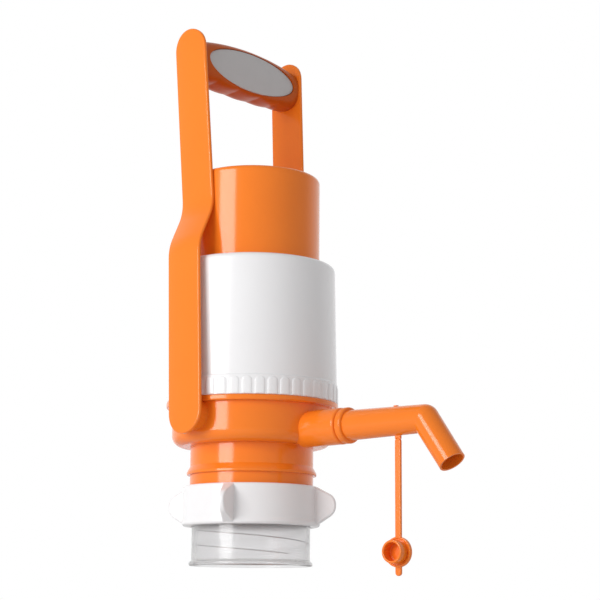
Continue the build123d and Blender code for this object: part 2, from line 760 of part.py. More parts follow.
with BuildPart() as handle_grip:
    for section in range(GRIP_SECTIONS):
        y = GRIP_END_Y * (2 * section / (GRIP_SECTIONS - 1) - 1)
        with BuildSketch(HANDLE_FACE.offset(-y)):
            with Locations((0, (grip_top(y) + grip_low(y)) / 2)):
                RectangleRounded(2 * GRIP_HALF_D, grip_top(y) - grip_low(y), grip_round(y))
    loft()
    # convex lobes between the finger grooves on the underside
    lobe_line = []
    for lobe in range(LOBE_COUNT):
        y0 = (lobe - LOBE_COUNT / 2) * LOBE_PITCH
        ends = [(y, grip_low(y) + LOBE_DEPTH) for y in (y0, y0 + LOBE_PITCH)]
        crown_y = y0 + LOBE_PITCH / 2
        lobe_line.append((ends[0], (crown_y, grip_low(crown_y)), ends[1]))
    with BuildSketch(HANDLE_SIDE.offset(-ARM_W)):
        with BuildLine():
            for first, crown, last in lobe_line:
                ThreePointArc(first, crown, last)
            start, stop = lobe_line[0][0], lobe_line[-1][2]
            below = GRIP_S - 2 * GRIP_HALF_H
            Polyline(stop, (stop[0], below), (start[0], below), start)
        make_face()
    extrude(amount=2 * ARM_W, mode=Mode.SUBTRACT)
    # ends cut to the arms' inner faces
    with BuildSketch(HANDLE_SIDE.offset(-ARM_W)):
        with BuildLine():
            low = (ARM_NECK_Y - ARM_T, NECK_S)
            high = (ARM_TOP_Y - ARM_T, ARM_LENGTH)
            reach = ARM_W / (ARM_LENGTH - NECK_S)
            top = (high[0] + (high[0] - low[0]) * reach, high[1] + (high[1] - low[1]) * reach)
            Polyline((-low[0], low[1]), low, top, (-top[0], top[1]), close=True)
        make_face()
    extrude(amount=2 * ARM_W, mode=Mode.INTERSECT)
    # tenons that stand in the arms
    with BuildSketch(HANDLE_FACE):
        with Locations((0, GRIP_S)):
            Rectangle(TENON_D, TENON_H)
    extrude(amount=TENON_TIP_Y, both=True)
    # oval recess of the plate
    with BuildSketch(HANDLE_SIDE.offset(ARM_W / 2)):
        with Locations((0, PLATE_S)):
            Ellipse(PLATE_A + PLATE_GAP, PLATE_B + PLATE_GAP)
    extrude(amount=PLATE_FRONT - PLATE_T - ARM_W / 2, mode=Mode.SUBTRACT)
save(handle_grip, "handle_grip")

with BuildPart() as grip_plate:
    with BuildSketch(HANDLE_SIDE.offset(PLATE_FRONT - PLATE_T)):
        with Locations((0, PLATE_S)):
            Ellipse(PLATE_A, PLATE_B)
    extrude(amount=PLATE_T)
save(grip_plate, "grip_plate")


# ---------------------------------------------------------------- spout_tube, spout_seal
SPIGOT_END_X = 46.0
SPIGOT_BEVEL = 0.6
SPOUT_SPIGOT_R = 6.95
SEAL_GROOVE_X = 50.5
SEAL_GROOVE_W = 1.8
SEAL_GROOVE_R = 5.65
SPOUT_SEAL_R = 0.66
COLLAR_X0 = 61.2
COLLAR_X1 = 65.2
COLLAR_R = 8.75
COLLAR_ROUND = 1.1
SPOUT_BORE_R = 4.6
MOUTH_BORE_R = 5.5
GATE_X = 92.7
GATE_R = 1.2
GATE_H = 0.45
STUB_Z = 57.2
HINGE_GAP = 0.05
STUB_ROUND = 0.4

TUBE_TAPER = (TUBE_R0 - TUBE_R1) / (TUBE_BEND_X - COLLAR_X1)
DROP = radians(SPOUT_DROP)
OUTLET_DIR = (cos(DROP), 0, -sin(DROP))
OUTLET_AXIS = Axis((TUBE_BEND_X, 0, SPOUT_Z), OUTLET_DIR)
OUTLET_PLANE = Plane(origin=(TUBE_BEND_X, 0, SPOUT_Z), x_dir=OUTLET_DIR, z_dir=(0, -1, 0))
TWIST = radians(TETHER_TWIST)
HINGE_Z = TETHER_TOP_Z - STRAP_W / 2
TETHER_PLANE = Plane(
    origin=(TETHER_X, 0, 0),
    x_dir=(cos(TWIST), sin(TWIST), 0),
    z_dir=(sin(TWIST), -cos(TWIST), 0),
)


def turned_sketch(plane, outline, corners=(), radius=0):
    """A closed half section whose first and last points lie on the axis, rounded at the corners."""
    with BuildSketch(plane) as half:
        with BuildLine():
            Polyline(*outline, close=True)
        make_face()
        for corner in corners:
            fillet(half.vertices().sort_by_distance(corner)[0], radius)
    return half.sketch


with BuildPart() as spout_tube:
    revolve(
        turned_sketch(Plane.XZ, [
            (SPIGOT_END_X, SPOUT_Z),
            (SPIGOT_END_X, SPOUT_Z + SPOUT_SPIGOT_R - SPIGOT_BEVEL),
            (SPIGOT_END_X + SPIGOT_BEVEL, SPOUT_Z + SPOUT_SPIGOT_R),
            (SEAL_GROOVE_X - SEAL_GROOVE_W / 2, SPOUT_Z + SPOUT_SPIGOT_R),
            (SEAL_GROOVE_X - SEAL_GROOVE_W / 2, SPOUT_Z + SEAL_GROOVE_R),
            (SEAL_GROOVE_X + SEAL_GROOVE_W / 2, SPOUT_Z + SEAL_GROOVE_R),
            (SEAL_GROOVE_X + SEAL_GROOVE_W / 2, SPOUT_Z + SPOUT_SPIGOT_R),
            (COLLAR_X0, SPOUT_Z + SPOUT_SPIGOT_R),
            (COLLAR_X0, SPOUT_Z + COLLAR_R),
            (COLLAR_X1, SPOUT_Z + COLLAR_R),
            (COLLAR_X1, SPOUT_Z + TUBE_R0),
            (TUBE_BEND_X, SPOUT_Z + TUBE_R1),
            (TUBE_BEND_X, SPOUT_Z),
        ], [(COLLAR_X0, SPOUT_Z + COLLAR_R), (COLLAR_X1, SPOUT_Z + COLLAR_R)], COLLAR_ROUND),
        axis=SPOUT_AXIS,
    )
    revolve(
        turned_sketch(OUTLET_PLANE, [
            (0, 0),
            (0, TUBE_R1),
            (SPOUT_END_LENGTH, TUBE_END_R),
            (SPOUT_END_LENGTH, 0),
        ]),
        axis=OUTLET_AXIS,
    )
    with Locations((TUBE_BEND_X, 0, SPOUT_Z)):
        Sphere(TUBE_R1)
    # gate mark on top, anchor of the tether below
    with BuildSketch(Plane.XY.offset(SPOUT_Z)):
        with Locations((GATE_X, 0)):
            Circle(GATE_R)
    extrude(amount=TUBE_R0 - TUBE_TAPER * (GATE_X - COLLAR_X1) + GATE_H)
    with BuildSketch(Plane.XY.offset(STUB_Z)):
        with Locations((TETHER_X, 0)):
            RectangleRounded(STRAP_W, STRAP_T, STUB_ROUND, rotation=TETHER_TWIST)
    extrude(amount=SPOUT_Z - STUB_Z)
    with BuildSketch(TETHER_PLANE.offset(-STRAP_T)):
        with Locations((0, HINGE_Z)):
            Circle(STRAP_W / 2 + HINGE_GAP)
    extrude(amount=2 * STRAP_T, mode=Mode.SUBTRACT)
    # bore
    revolve(
        turned_sketch(Plane.XZ, [
            (SPIGOT_END_X, SPOUT_Z),
            (SPIGOT_END_X, SPOUT_Z + SPOUT_BORE_R),
            (TUBE_BEND_X, SPOUT_Z + SPOUT_BORE_R),
            (TUBE_BEND_X, SPOUT_Z),
        ]),
        axis=SPOUT_AXIS,
        mode=Mode.SUBTRACT,
    )
    revolve(
        turned_sketch(OUTLET_PLANE, [
            (0, 0),
            (0, SPOUT_BORE_R),
            (SPOUT_END_LENGTH / 2, MOUTH_BORE_R),
            (SPOUT_END_LENGTH, MOUTH_BORE_R),
            (SPOUT_END_LENGTH, 0),
        ]),
        axis=OUTLET_AXIS,
        mode=Mode.SUBTRACT,
    )
    with Locations((TUBE_BEND_X, 0, SPOUT_Z)):
        Sphere(SPOUT_BORE_R, mode=Mode.SUBTRACT)
save(spout_tube, "spout_tube")

with BuildPart() as spout_seal:
    with BuildSketch(Plane.XZ):
        with Locations((SEAL_GROOVE_X, SPOUT_Z + (SEAL_GROOVE_R + SOCKET_BORE_R) / 2)):
            Circle(SPOUT_SEAL_R)
    revolve(axis=SPOUT_AXIS)
save(spout_seal, "spout_seal")


# ---------------------------------------------------------------- tether_cap
PLUG_BORE_R = 4.25
DISC_T = 1.6
DISC_RIM_W = 0.9
DISC_RIM_H = 0.5

with BuildPart() as tether_cap:
    with BuildSketch(TETHER_PLANE.offset(-STRAP_T / 2)):
        with Locations((0, (HINGE_Z + DISC_Z) / 2)):
            Rectangle(STRAP_W, HINGE_Z - DISC_Z)
        with Locations((0, HINGE_Z)):
            Circle(STRAP_W / 2)
        with Locations((0, (DISC_Z + TAB_END_Z + STRAP_W / 2) / 2)):
            Rectangle(STRAP_W, DISC_Z - TAB_END_Z - STRAP_W / 2)
        with Locations((0, TAB_END_Z + STRAP_W / 2)):
            Circle(STRAP_W / 2)
    extrude(amount=STRAP_T)
    with BuildSketch(TETHER_PLANE.offset(-DISC_T / 2)):
        with Locations((0, DISC_Z)):
            Circle(DISC_R)
    extrude(amount=DISC_T)
    with BuildSketch(TETHER_PLANE.offset(DISC_T / 2)):
        with Locations((0, DISC_Z)):
            Circle(DISC_R)
            Circle(DISC_R - DISC_RIM_W, mode=Mode.SUBTRACT)
    extrude(amount=DISC_RIM_H)
    with BuildSketch(TETHER_PLANE.offset(DISC_T / 2)):
        with Locations((0, DISC_Z)):
            Circle(PLUG_R)
            Circle(PLUG_BORE_R, mode=Mode.SUBTRACT)
    extrude(amount=PLUG_H)
save(tether_cap, "tether_cap")
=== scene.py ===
import math

import bmesh
import bpy
from mathutils import Matrix, Vector


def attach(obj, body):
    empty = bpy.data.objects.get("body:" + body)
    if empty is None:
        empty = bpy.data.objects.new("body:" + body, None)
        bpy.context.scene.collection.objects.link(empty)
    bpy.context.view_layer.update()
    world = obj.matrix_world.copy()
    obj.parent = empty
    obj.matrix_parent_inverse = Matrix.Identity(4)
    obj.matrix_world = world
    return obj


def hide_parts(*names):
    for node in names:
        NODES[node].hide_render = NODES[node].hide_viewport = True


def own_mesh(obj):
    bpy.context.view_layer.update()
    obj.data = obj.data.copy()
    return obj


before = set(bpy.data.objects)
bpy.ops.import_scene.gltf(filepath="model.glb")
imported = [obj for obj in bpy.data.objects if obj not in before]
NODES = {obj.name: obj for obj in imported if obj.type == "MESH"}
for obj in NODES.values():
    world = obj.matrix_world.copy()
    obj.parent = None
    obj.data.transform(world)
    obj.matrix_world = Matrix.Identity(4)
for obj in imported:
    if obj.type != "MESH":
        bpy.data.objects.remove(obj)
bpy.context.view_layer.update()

# Hand pump for a water jug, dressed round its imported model. The pump's own sizes are in
# millimetres, the studio's and the meshes' in metres, and angles are given in degrees. The
# origin is at the clear cuff's mouth, +Z up, the spout along +X and the handle's hinge along Y.

MM = 0.001


# ---------------------------------------------------------------- node graphs
class Wire:
    """A socket whose arithmetic adds Math nodes to its graph."""

    def __init__(self, graph, socket):
        self.graph = graph
        self.socket = socket

    def math(self, operation, *values):
        return self.graph.add("ShaderNodeMath", {"operation": operation}, dict(enumerate(values)))

    def __add__(self, other):
        return self.math("ADD", self, other)

    def __radd__(self, other):
        return self.math("ADD", other, self)

    def __sub__(self, other):
        return self.math("SUBTRACT", self, other)

    def __rsub__(self, other):
        return self.math("SUBTRACT", other, self)

    def __mul__(self, other):
        return self.math("MULTIPLY", self, other)

    def __rmul__(self, other):
        return self.math("MULTIPLY", other, self)

    def __truediv__(self, other):
        return self.math("DIVIDE", self, other)

    def __rtruediv__(self, other):
        return self.math("DIVIDE", other, self)


class Graph:
    """A node tree whose nodes are all added by one method."""

    def __init__(self, tree):
        self.tree = tree

    def add(self, kind, settings=None, values=None, output=0):
        """Adds a node, sets its settings, then its sockets' values or links; gives one output."""
        node = self.tree.nodes.new(kind)
        for key, value in (settings or {}).items():
            setattr(node, key, value)
        for key, value in (values or {}).items():
            if isinstance(value, Wire):
                self.tree.links.new(value.socket, node.inputs[key])
            else:
                node.inputs[key].default_value = value
        return Wire(self, node.outputs[output]) if len(node.outputs) else node


def shader_graph(owner):
    """An empty node graph on a material or world."""
    owner.use_nodes = True
    owner.node_tree.nodes.clear()
    return Graph(owner.node_tree)


# ---------------------------------------------------------------- finishes
FLOW_SCALE = 6.0
FLOW_HEIGHT = 0.5
SKIN_SCALE = 900.0
SKIN_DEPTH = 0.2 * MM
GLOSS_DRIFT = 0.06
PLASTIC_IOR = 1.49


def noise(graph, place, scale, detail):
    return graph.add(
        "ShaderNodeTexNoise", values={"Vector": place, "Scale": scale, "Detail": detail}
    )


def plastic(
    name, light, dark, roughness, grain=0.02, drift_scale=40.0, specular=0.5, transmission=0.0
):
    """Moulded plastic: faint drift of tone, uneven gloss and a fine skin from the mould."""
    material = bpy.data.materials.new(name)
    graph = shader_graph(material)
    place = graph.add("ShaderNodeTexCoord", output="Object")
    drift = noise(graph, place, drift_scale, 2.0)
    tone = graph.add(
        "ShaderNodeMix",
        {"data_type": "RGBA"},
        {"Factor": drift, "A": (*dark, 1.0), "B": (*light, 1.0)},
        output="Result",
    )
    flow = noise(graph, place, FLOW_SCALE * drift_scale, 4.0)
    skin = noise(graph, place, SKIN_SCALE, 2.0)
    bump = graph.add(
        "ShaderNodeBump",
        values={"Strength": grain, "Distance": SKIN_DEPTH, "Height": skin + FLOW_HEIGHT * flow},
    )
    shader = graph.add(
        "ShaderNodeBsdfPrincipled",
        values={
            "Base Color": tone,
            "Roughness": roughness + GLOSS_DRIFT * (flow - 0.5),
            "Normal": bump,
            "IOR": PLASTIC_IOR,
            "Specular IOR Level": specular,
            "Transmission Weight": transmission,
        },
    )
    graph.add("ShaderNodeOutputMaterial", values={"Surface": shader})
    return material


ORANGE = plastic("glossy_orange", (0.95, 0.226, 0.018), (0.92, 0.210, 0.016), 0.15, specular=0.45)
# Painted shade: the grip's orange is the arms' orange painted darker, standing in for the light
# that falls off towards the grip; its gloss is also lower.
SHADED_GRIP_ORANGE = plastic(
    "shade_painted_orange", (0.56, 0.104, 0.010), (0.52, 0.094, 0.009), 0.32, grain=0.05, specular=0.18
)
WHITE = plastic("glossy_white", (0.88, 0.875, 0.885), (0.86, 0.855, 0.865), 0.18, specular=0.4)
GREY = plastic(
    "satin_grey", (0.58, 0.555, 0.555), (0.54, 0.52, 0.52), 0.36, grain=0.06, drift_scale=120.0
)
NATURAL = plastic("milky_polythene", (0.84, 0.84, 0.80), (0.80, 0.80, 0.76), 0.4, grain=0.08)
RUBBER = plastic("white_rubber", (0.78, 0.78, 0.75), (0.74, 0.74, 0.71), 0.55, grain=0.12)
CLEAR = plastic("milky_clear", (0.93, 0.925, 0.93), (0.90, 0.895, 0.90), 0.18, transmission=0.92)


# ---------------------------------------------------------------- studio
# Places and sizes in metres, lens and sensor in millimetres. AWAY is level, the way the lens
# looks. The backdrop brightens towards it, and is darkest towards the lens and above HIGH_Z.
CAMERA_PLACE = (0.57234, -0.60237, -0.02477)
CAMERA_YAW = 41.903
CAMERA_PITCH = 10.875
CAMERA_ROLL = 0.395
CAMERA_LENS = 99.097
CAMERA_SENSOR = 36.0
CAMERA_NEAR = 0.05
AWAY = (-math.sin(math.radians(CAMERA_YAW)), math.cos(math.radians(CAMERA_YAW)), 0.0)
BEHIND_FROM = 0.1
BEHIND_FULL = 0.95
LOW_LIGHT = 0.68
LOW_Z = -0.3
HIGH_LIGHT = 0.42
HIGH_Z = 0.5
FLOOR_Z = -0.030
FLOOR_R = 1.2
FLOOR_TONE = 0.88
FADE_FROM = 0.2 * FLOOR_R
FADE_GONE = 0.9 * FLOOR_R
LAMP_PLACE = (-0.08, -0.90, 0.28)
LAMP_TARGET = (0.0, 0.0, 0.13)
LAMP_WIDTH = 0.46
LAMP_HEIGHT = 0.50
LAMP_POWER = 5.4


def studio_camera():
    """The camera, with the photograph's viewing angle and lens."""
    camera = bpy.data.objects.new("camera", bpy.data.cameras.new("camera"))
    camera.data.lens = CAMERA_LENS
    camera.data.sensor_width = CAMERA_SENSOR
    camera.data.clip_start = CAMERA_NEAR
    turned_by = (
        Matrix.Rotation(math.radians(CAMERA_YAW), 4, "Z")
        @ Matrix.Rotation(math.radians(90 + CAMERA_PITCH), 4, "X")
        @ Matrix.Rotation(math.radians(CAMERA_ROLL), 4, "Z")
    )
    camera.matrix_world = Matrix.Translation(CAMERA_PLACE) @ turned_by
    bpy.context.scene.collection.objects.link(camera)
    bpy.context.scene.camera = camera


def studio_softbox():
    """The one lamp, in front of the pump, left of the lens and above it."""
    lamp = bpy.data.lights.new("softbox", "AREA")
    lamp.shape = "RECTANGLE"
    lamp.size = LAMP_WIDTH
    lamp.size_y = LAMP_HEIGHT
    lamp.energy = LAMP_POWER
    holder = bpy.data.objects.new("softbox", lamp)
    holder.location = LAMP_PLACE
    holder.rotation_mode = "QUATERNION"
    aim = Vector(LAMP_TARGET) - Vector(LAMP_PLACE)
    holder.rotation_quaternion = aim.to_track_quat("-Z", "Y")
    holder.visible_camera = False
    bpy.context.scene.collection.objects.link(holder)


def backdrop_world():
    """Bright behind the object, dim on the lens side and dimmer above; white where it is seen."""
    world = bpy.data.worlds.new("studio")
    bpy.context.scene.world = world
    graph = shader_graph(world)
    direction = graph.add("ShaderNodeTexCoord", output="Generated")
    facing = graph.add(
        "ShaderNodeVectorMath",
        {"operation": "DOT_PRODUCT"},
        {0: direction, 1: AWAY},
        output="Value",
    )
    behind = graph.add(
        "ShaderNodeMapRange",
        {"interpolation_type": "SMOOTHSTEP"},
        {"Value": facing, "From Min": BEHIND_FROM, "From Max": BEHIND_FULL},
    )
    height = graph.add("ShaderNodeSeparateXYZ", values={0: direction}, output="Z")
    above = graph.add(
        "ShaderNodeMapRange",
        {"interpolation_type": "SMOOTHSTEP"},
        {
            "Value": height,
            "From Min": LOW_Z,
            "From Max": HIGH_Z,
            "To Min": LOW_LIGHT,
            "To Max": HIGH_LIGHT,
        },
    )
    camera_ray = graph.add("ShaderNodeLightPath", output="Is Camera Ray")
    clear_ray = graph.add("ShaderNodeLightPath", output="Is Transmission Ray")
    gloss_ray = graph.add("ShaderNodeLightPath", output="Is Glossy Ray")
    straight = camera_ray + clear_ray + gloss_ray * behind
    seen = straight.math("MINIMUM", straight, 1.0)
    light = above + (1.0 - above) * behind
    background = graph.add(
        "ShaderNodeBackground",
        values={"Color": (1.0, 1.0, 1.0, 1.0), "Strength": light + seen * (1.0 - light)},
    )
    graph.add("ShaderNodeOutputWorld", values={"Surface": background})


def studio_floor():
    """A pale round floor that fades into the backdrop."""
    mesh = bpy.data.meshes.new("floor")
    form = bmesh.new()
    bmesh.ops.create_circle(form, cap_ends=True, segments=64, radius=FLOOR_R)
    form.to_mesh(mesh)
    form.free()
    mesh.transform(Matrix.Translation((0, 0, FLOOR_Z)))
    floor = bpy.data.objects.new("floor", mesh)
    bpy.context.scene.collection.objects.link(floor)
    material = bpy.data.materials.new("pale_floor")
    graph = shader_graph(material)
    place = graph.add("ShaderNodeTexCoord", output="Object")
    reach = graph.add("ShaderNodeVectorMath", {"operation": "LENGTH"}, {0: place}, output="Value")
    fade = graph.add(
        "ShaderNodeMapRange",
        {"interpolation_type": "SMOOTHSTEP"},
        {"Value": reach, "From Min": FADE_FROM, "From Max": FADE_GONE},
    )
    tone = (FLOOR_TONE, FLOOR_TONE, FLOOR_TONE, 1.0)
    paint = graph.add("ShaderNodeBsdfDiffuse", values={"Color": tone})
    clear = graph.add("ShaderNodeBsdfTransparent")
    mixed = graph.add("ShaderNodeMixShader", values={0: fade, 1: paint, 2: clear})
    graph.add("ShaderNodeOutputMaterial", values={"Surface": mixed})
    mesh.materials.append(material)


studio_camera()
backdrop_world()
studio_floor()
studio_softbox()
bpy.context.scene.view_settings.view_transform = "Standard"


# ---------------------------------------------------------------- shaping
WELD = 0.002 * MM
EDGE_STEPS = 3
EDGE_ANGLE = 40.0
SOFT_ANGLE = 38.0


def settle(piece):
    """Turns a piece and its modifiers into a plain mesh."""
    graph = bpy.context.evaluated_depsgraph_get()
    mesh = bpy.data.meshes.new_from_object(
        piece.evaluated_get(graph), preserve_all_data_layers=True, depsgraph=graph
    )
    piece.modifiers.clear()
    piece.data = mesh


def new_piece(name, form):
    """An object at the origin from a closed form."""
    bmesh.ops.remove_doubles(form, verts=form.verts, dist=WELD)
    bmesh.ops.recalc_face_normals(form, faces=form.faces)
    mesh = bpy.data.meshes.new(name)
    form.to_mesh(mesh)
    form.free()
    piece = bpy.data.objects.new(name, mesh)
    bpy.context.scene.collection.objects.link(piece)
    return piece


def dress(piece, finish, body, node=None, edge=0.0, sharp=SOFT_ANGLE):
    """Rounds a piece's edges, smooths it with weighted normals, and gives it finish and body."""
    if edge:
        bevel = piece.modifiers.new("edge", "BEVEL")
        bevel.width = edge * MM
        bevel.segments = EDGE_STEPS
        bevel.limit_method = "ANGLE"
        bevel.angle_limit = math.radians(EDGE_ANGLE)
        settle(piece)
    piece.data.shade_smooth()
    piece.data.set_sharp_from_angle(angle=math.radians(sharp))
    weighted = piece.modifiers.new("weighted", "WEIGHTED_NORMAL")
    weighted.keep_sharp = True
    settle(piece)
    piece.data.materials.clear()
    piece.data.materials.append(finish)
    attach(piece, body)
    if node:
        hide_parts(node)


def rounded(corners, step=12.0):
    """Closed outline from (x, y, radius) corners, each rounded by arcs of this step in degrees."""
    points = []
    for index, (x, y, radius) in enumerate(corners):
        here = Vector((x, y))
        if not radius:
            points.append(here)
            continue
        before = (Vector(corners[index - 1][:2]) - here).normalized()
        after = (Vector(corners[(index + 1) % len(corners)][:2]) - here).normalized()
        half = before.angle(after) / 2
        centre = here + (before + after).normalized() * radius / math.sin(half)
        first = here + before * radius / math.tan(half) - centre
        last = here + after * radius / math.tan(half) - centre
        turn = math.copysign(math.pi - 2 * half, first.x * last.y - first.y * last.x)
        count = max(2, math.ceil(abs(math.degrees(turn)) / step))
        for part in range(count + 1):
            points.append(centre + Matrix.Rotation(turn * part / count, 2) @ first)
    return points


def bridge(form, rings, closed):
    """Joins neighbouring rings of vertices with quads; a ring may be a single point."""
    pairs = list(zip(rings, rings[1:]))
    if closed:
        pairs.append((rings[-1], rings[0]))
    for ring, following in pairs:
        count = max(len(ring), len(following))
        if count == 1:
            continue
        for part in range(count):
            after = (part + 1) % count
            corners = [
                ring[part % len(ring)],
                ring[after % len(ring)],
                following[after % len(following)],
                following[part % len(following)],
            ]
            form.faces.new(dict.fromkeys(corners))


def round_point(radius, angle, height):
    """A place in metres from a radius, an angle in radians and a height."""
    return radius * MM * math.cos(angle), radius * MM * math.sin(angle), height * MM


def turned(outline, segments=144):
    """A closed shell turned about Z from a closed half section of (radius, height) points."""
    form = bmesh.new()
    rings = []
    for radius, height in outline:
        count = segments if radius > 0 else 1
        angles = [2 * math.pi * part / segments for part in range(count)]
        rings.append([form.verts.new(round_point(radius, angle, height)) for angle in angles])
    bridge(form, rings, closed=True)
    return form


def joined(form, other, place):
    """Adds another form, moved by a matrix, to this one."""
    spare = bpy.data.meshes.new("spare")
    other.transform(place)
    other.to_mesh(spare)
    other.free()
    form.from_mesh(spare)
    bpy.data.meshes.remove(spare)


# ---------------------------------------------------------------- repeated forms
WINDING_STEPS = 96
BEAD_SIDES = 12


def named_tree(name, inputs):
    """A Geometry Nodes tree with named inputs and one output, and its graph."""
    tree = bpy.data.node_groups.new(name, "GeometryNodeTree")
    for label, kind in inputs:
        tree.interface.new_socket(label, in_out="INPUT", socket_type=kind)
    tree.interface.new_socket("Form", in_out="OUTPUT", socket_type="NodeSocketGeometry")
    return tree, Graph(tree)


def spread_round(graph, form, count, height, first):
    """Instances of a form round the pump's axis, made real and painted, into the tree's output."""
    place = graph.add("ShaderNodeCombineXYZ", values={"Z": height})
    points = graph.add("GeometryNodePoints", values={"Count": count, "Position": place})
    step = graph.add("GeometryNodeInputIndex") * (2 * math.pi) / count
    turn = graph.add("ShaderNodeCombineXYZ", values={"Z": step + first})
    rotation = graph.add("FunctionNodeEulerToRotation", values={"Euler": turn})
    copies = graph.add(
        "GeometryNodeInstanceOnPoints",
        values={"Points": points, "Instance": form, "Rotation": rotation},
    )
    solid = graph.add("GeometryNodeRealizeInstances", values={"Geometry": copies})
    finish = graph.add("NodeGroupInput", output="Finish")
    painted = graph.add("GeometryNodeSetMaterial", values={"Geometry": solid, "Material": finish})
    graph.add("NodeGroupOutput", values={"Form": painted})


def ring_tree():
    """Repeats the incoming form a number of times round the pump's axis."""
    tree, graph = named_tree(
        "ring_of_forms",
        [
            ("Single", "NodeSocketGeometry"),
            ("Count", "NodeSocketInt"),
            ("First Angle", "NodeSocketFloat"),
            ("Finish", "NodeSocketMaterial"),
        ],
    )
    single, count, first = (
        graph.add("NodeGroupInput", output=label) for label in ("Single", "Count", "First Angle")
    )
    spread_round(graph, single, count, 0.0, first)
    return tree


def bead_tree():
    """Winds a round bead into helices that start evenly round the pump's axis."""
    sizes = ("Turns", "Radius", "Rise", "Bead Radius", "Height", "First Angle")
    tree, graph = named_tree(
        "helical_beads",
        [
            ("Starts", "NodeSocketInt"),
            *((label, "NodeSocketFloat") for label in sizes),
            ("Right Hand", "NodeSocketBool"),
            ("Finish", "NodeSocketMaterial"),
        ],
    )
    starts, right = (
        graph.add("NodeGroupInput", output=label) for label in ("Starts", "Right Hand")
    )
    turns, radius, rise, bead, height, first = (
        graph.add("NodeGroupInput", output=label) for label in sizes
    )
    winding = graph.add(
        "GeometryNodeCurveSpiral",
        values={
            "Resolution": WINDING_STEPS,
            "Rotations": turns,
            "Start Radius": radius,
            "End Radius": radius,
            "Height": rise,
            "Reverse": right,
        },
    )
    section = graph.add(
        "GeometryNodeCurvePrimitiveCircle", values={"Resolution": BEAD_SIDES, "Radius": bead}
    )
    strand = graph.add(
        "GeometryNodeCurveToMesh",
        values={"Curve": winding, "Profile Curve": section, "Fill Caps": True},
    )
    spread_round(graph, strand, starts, height, first)
    return tree


RING_TREE = ring_tree()
BEAD_TREE = bead_tree()


def run_tree(piece, tree, values):
    """Runs a Geometry Nodes tree on a piece with these named inputs and keeps the plain mesh."""
    modifier = piece.modifiers.new(tree.name, "NODES")
    modifier.node_group = tree
    for item in tree.interface.items_tree:
        if item.name in values:
            modifier[item.identifier] = values[item.name]
    settle(piece)


def wound_beads(name, finish, radius, rise, bead, height, first_angle, right_hand):
    """Two beads that each wind once round the pump's axis, as one piece."""
    piece = new_piece(name, bmesh.new())
    values = {
        "Starts": 2,
        "Turns": 1.0,
        "Radius": radius * MM,
        "Rise": rise * MM,
        "Bead Radius": bead * MM,
        "Height": height * MM,
        "First Angle": math.radians(first_angle),
        "Right Hand": right_hand,
        "Finish": finish,
    }
    run_tree(piece, BEAD_TREE, values)
    return piece


# ---------------------------------------------------------------- guide sleeve
SLEEVE = [
    (43.0, 80.65, 0.3),
    (43.0, 90.05, 0.25),
    (42.6, 90.55, 0.25),
    (41.5, 151.2, 3.0),
    (33.85, 151.2, 0.8),
    (33.85, 148.6, 0.3),
    (39.3, 148.6, 1.0),
    (40.4, 92.7, 0.4),
    (35.6, 92.7, 0.3),
    (35.6, 90.3, 0.0),
    (41.0, 90.3, 0.0),
    (41.0, 80.65, 0.0),
]
RIB_COUNT = 43
RIB_HALF_W = 2.72
RIB_ROOT_R = 42.7
RIB_BACK_R = 42.4
RIB_OUT = 0.65
RIB_Z0 = 80.9
RIB_ARCH_Z = 87.2
RIB_TOP_Z = 89.5
RIB_COLUMNS = 14
RIB_POWER = 4
RIB_ARCH_STEP = 12
RIB_FOOT = [(0.0, 0.55), (0.12, 0.86), (0.4, 1.0)]  # rise over the foot, share of the bulge


def sleeve_rib():
    """One grip rib: a pillow with an arched top, sunk into the band."""
    form = bmesh.new()
    rows = [(RIB_Z0 + rise, 0, swell) for rise, swell in RIB_FOOT]
    for angle in range(0, 90, RIB_ARCH_STEP):
        arch = (RIB_TOP_Z - RIB_ARCH_Z) * math.sin(math.radians(angle))
        rows.append((RIB_ARCH_Z + arch, angle, 1.0))
    rings = []
    for height, angle, swell in rows:
        width = RIB_HALF_W * math.cos(math.radians(angle))
        proud = RIB_OUT * swell * math.sqrt(math.cos(math.radians(angle)))
        ring = []
        for column in range(RIB_COLUMNS + 1):
            across = -math.cos(math.pi * column / RIB_COLUMNS)
            radius = RIB_ROOT_R + proud * math.sqrt(1 - across**RIB_POWER)
            turn = width * across / RIB_ROOT_R
            ring.append(form.verts.new(round_point(radius, turn, height)))
        ring.append(form.verts.new(round_point(RIB_BACK_R, 0, height)))
        rings.append(ring)
    rings.insert(0, [form.verts.new(round_point(RIB_BACK_R, 0, RIB_Z0))])
    rings.append([form.verts.new(round_point(RIB_ROOT_R, 0, RIB_TOP_Z))])
    bridge(form, rings, closed=False)
    return form


sleeve = new_piece("ribbed_sleeve", turned(rounded(SLEEVE)))
dress(sleeve, WHITE, "pump", "guide_sleeve")
ribs = new_piece("sleeve_ribs", sleeve_rib())
run_tree(ribs, RING_TREE, {"Count": RIB_COUNT, "First Angle": 0.0, "Finish": WHITE})
dress(ribs, WHITE, "pump", sharp=60.0)


# ---------------------------------------------------------------- clamp nut
NUT = [
    (29.9, 19.3, 0.3),
    (34.5, 19.3, 1.4),
    (34.5, 21.1, 1.0),
    (34.2, 22.6, 1.0),
    (34.2, 39.0, 1.1),
    (32.3, 39.0, 0.3),
    (32.3, 22.4, 0.2),
    (29.9, 22.4, 0.3),
]
LUG = [
    (33.1, 20.1, 0.0),
    (34.5, 20.1, 0.0),
    (44.1, 25.9, 6.2),
    (44.1, 33.5, 6.2),
    (34.2, 38.5, 0.0),
    (33.1, 38.5, 0.0),
]
LUG_COUNT = 4
LUG_ROOT_R = LUG[0][0]
LUG_TIP_R = LUG[2][0]
LUG_ROOT_T = 6.2
LUG_TIP_T = 2.2
LUG_EDGE = 0.8
LUG_TURN = -65.5


